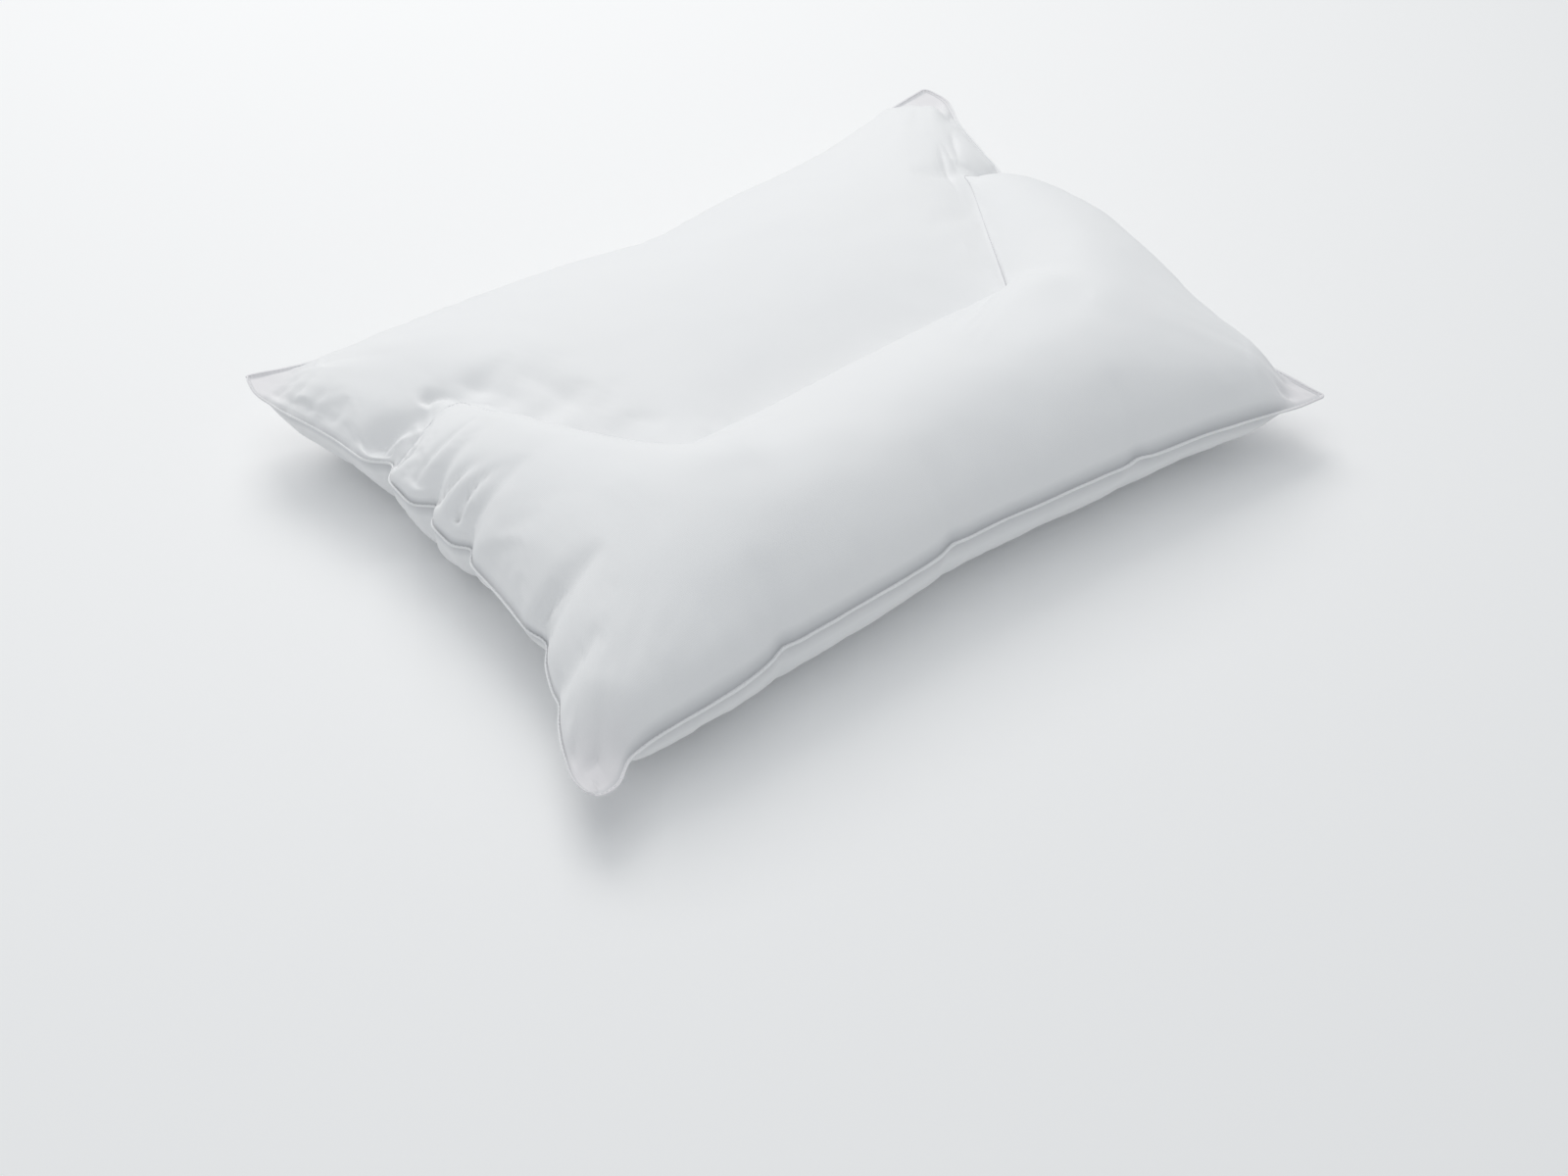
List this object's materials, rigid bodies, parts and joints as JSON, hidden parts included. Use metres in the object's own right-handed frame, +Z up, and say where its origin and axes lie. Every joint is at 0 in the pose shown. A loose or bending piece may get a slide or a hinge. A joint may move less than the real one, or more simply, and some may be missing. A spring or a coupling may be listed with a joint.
{
  "type": "roller pillow",
  "caption": "Filled cotton sleeping pillow with a low head part, a fuller neck roll along one long side, a sewn channel between them and drawn-in edges with pointed corners.",
  "frame": {"origin": "middle of the bounding box, on the surface that the pillow lies on", "axes": "+X along the long sides, +Y from the neck roll to the back edge of the head part, +Z up out of the face"},
  "size_m": [0.686, 0.4952, 0.1344],
  "materials": {
    "white_cotton": "matt plain-weave cotton"
  },
  "bodies": {
    "root": {"pillow": "white_cotton"}
  },
  "joints": []
}
